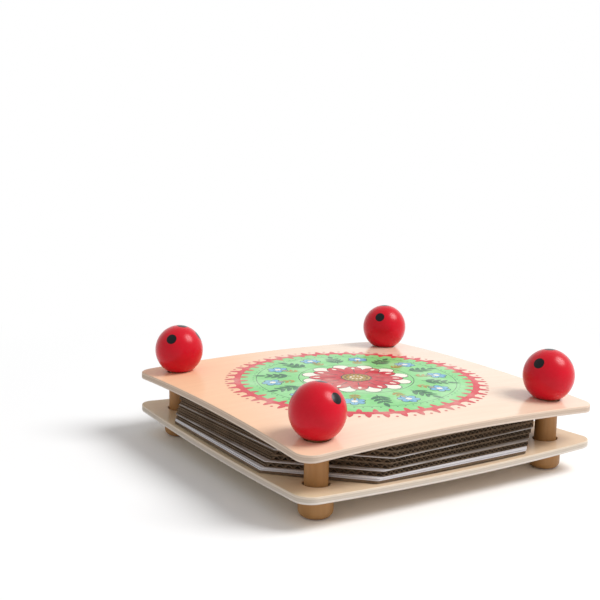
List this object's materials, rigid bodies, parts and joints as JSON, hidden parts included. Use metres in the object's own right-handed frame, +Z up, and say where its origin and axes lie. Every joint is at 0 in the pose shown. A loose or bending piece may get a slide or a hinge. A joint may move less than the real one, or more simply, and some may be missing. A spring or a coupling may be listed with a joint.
{
  "type": "flower press",
  "caption": "Square flower press: two bowed plywood boards on wooden bolts with ball nuts, clamping a stack of cards and blotting papers.",
  "frame": {"origin": "centre of the press in plan, on the plane of the four feet", "axes": "+Z up along the bolts, +X and +Y along the boards' sides; the corner named front is at -X -Y"},
  "size_m": [0.18, 0.18, 0.0633],
  "materials": {
    "board_wood": "pale birch plywood, clear gloss lacquer",
    "bolt_wood": "turned brown hardwood, satin",
    "nut_lacquer": "turned wood, gloss red lacquer with black painted dots",
    "card": "corrugated and plain card, matt brown",
    "blotting_paper": "soft matt white",
    "print": null
  },
  "bodies": {
    "base": {"bottom_board": "board_wood", "bolt_front": "bolt_wood", "bolt_right": "bolt_wood", "bolt_back": "bolt_wood", "bolt_left": "bolt_wood"},
    "card_1": {"card_1": "card"},
    "paper_1": {"paper_1": "blotting_paper"},
    "paper_2": {"paper_2": "blotting_paper"},
    "paper_3": {"paper_3": "blotting_paper"},
    "card_2": {"card_2": "card"},
    "paper_4": {"paper_4": "blotting_paper"},
    "card_3": {"card_3": "card"},
    "card_4": {"card_4": "card"},
    "paper_5": {"paper_5": "blotting_paper"},
    "card_5": {"card_5": "card"},
    "card_6": {"card_6": "card"},
    "card_7": {"card_7": "card"},
    "top_board": {"top_board": "board_wood"},
    "nut_front": {"nut_front": "nut_lacquer"},
    "nut_right": {"nut_right": "nut_lacquer"},
    "nut_back": {"nut_back": "nut_lacquer"},
    "nut_left": {"nut_left": "nut_lacquer"}
  },
  "joints": [
    {"name": "press_lift", "type": "slide", "parent": "base", "child": "top_board", "axis": [0, 0, 1], "range_m": [0, 0.012]},
    {"name": "nut_front_turn", "type": "hinge", "parent": "top_board", "child": "nut_front", "pos_m": [-0.072, -0.072, 0.0376], "axis": [0, 0, 1], "range_deg": [0, 1440]},
    {"name": "nut_right_turn", "type": "hinge", "parent": "top_board", "child": "nut_right", "pos_m": [0.072, -0.072, 0.0376], "axis": [0, 0, 1], "range_deg": [0, 1440]},
    {"name": "nut_back_turn", "type": "hinge", "parent": "top_board", "child": "nut_back", "pos_m": [0.072, 0.072, 0.0376], "axis": [0, 0, 1], "range_deg": [0, 1440]},
    {"name": "nut_left_turn", "type": "hinge", "parent": "top_board", "child": "nut_left", "pos_m": [-0.072, 0.072, 0.0376], "axis": [0, 0, 1], "range_deg": [0, 1440]},
    {"name": "card_1_lift", "type": "slide", "parent": "base", "child": "card_1", "axis": [0, 0, 1], "range_m": [0, 0.000923]},
    {"name": "paper_1_lift", "type": "slide", "parent": "base", "child": "paper_1", "axis": [0, 0, 1], "range_m": [0, 0.00185]},
    {"name": "paper_2_lift", "type": "slide", "parent": "base", "child": "paper_2", "axis": [0, 0, 1], "range_m": [0, 0.00277]},
    {"name": "paper_3_lift", "type": "slide", "parent": "base", "child": "paper_3", "axis": [0, 0, 1], "range_m": [0, 0.00369]},
    {"name": "card_2_lift", "type": "slide", "parent": "base", "child": "card_2", "axis": [0, 0, 1], "range_m": [0, 0.00462]},
    {"name": "paper_4_lift", "type": "slide", "parent": "base", "child": "paper_4", "axis": [0, 0, 1], "range_m": [0, 0.00554]},
    {"name": "card_3_lift", "type": "slide", "parent": "base", "child": "card_3", "axis": [0, 0, 1], "range_m": [0, 0.00646]},
    {"name": "card_4_lift", "type": "slide", "parent": "base", "child": "card_4", "axis": [0, 0, 1], "range_m": [0, 0.00739]},
    {"name": "paper_5_lift", "type": "slide", "parent": "base", "child": "paper_5", "axis": [0, 0, 1], "range_m": [0, 0.00831]},
    {"name": "card_5_lift", "type": "slide", "parent": "base", "child": "card_5", "axis": [0, 0, 1], "range_m": [0, 0.00923]},
    {"name": "card_6_lift", "type": "slide", "parent": "base", "child": "card_6", "axis": [0, 0, 1], "range_m": [0, 0.01015]},
    {"name": "card_7_lift", "type": "slide", "parent": "base", "child": "card_7", "axis": [0, 0, 1], "range_m": [0, 0.01108]}
  ],
  "couplings": [
    {"joint": "nut_front_turn", "follows": "press_lift", "rad_per_m": 2094.4},
    {"joint": "nut_right_turn", "follows": "press_lift", "rad_per_m": 2094.4},
    {"joint": "nut_back_turn", "follows": "press_lift", "rad_per_m": 2094.4},
    {"joint": "nut_left_turn", "follows": "press_lift", "rad_per_m": 2094.4},
    {"joint": "card_1_lift", "follows": "press_lift", "ratio": 0.076923},
    {"joint": "paper_1_lift", "follows": "press_lift", "ratio": 0.15385},
    {"joint": "paper_2_lift", "follows": "press_lift", "ratio": 0.23077},
    {"joint": "paper_3_lift", "follows": "press_lift", "ratio": 0.30769},
    {"joint": "card_2_lift", "follows": "press_lift", "ratio": 0.38462},
    {"joint": "paper_4_lift", "follows": "press_lift", "ratio": 0.46154},
    {"joint": "card_3_lift", "follows": "press_lift", "ratio": 0.53846},
    {"joint": "card_4_lift", "follows": "press_lift", "ratio": 0.61538},
    {"joint": "paper_5_lift", "follows": "press_lift", "ratio": 0.69231},
    {"joint": "card_5_lift", "follows": "press_lift", "ratio": 0.76923},
    {"joint": "card_6_lift", "follows": "press_lift", "ratio": 0.84615},
    {"joint": "card_7_lift", "follows": "press_lift", "ratio": 0.92308}
  ]
}
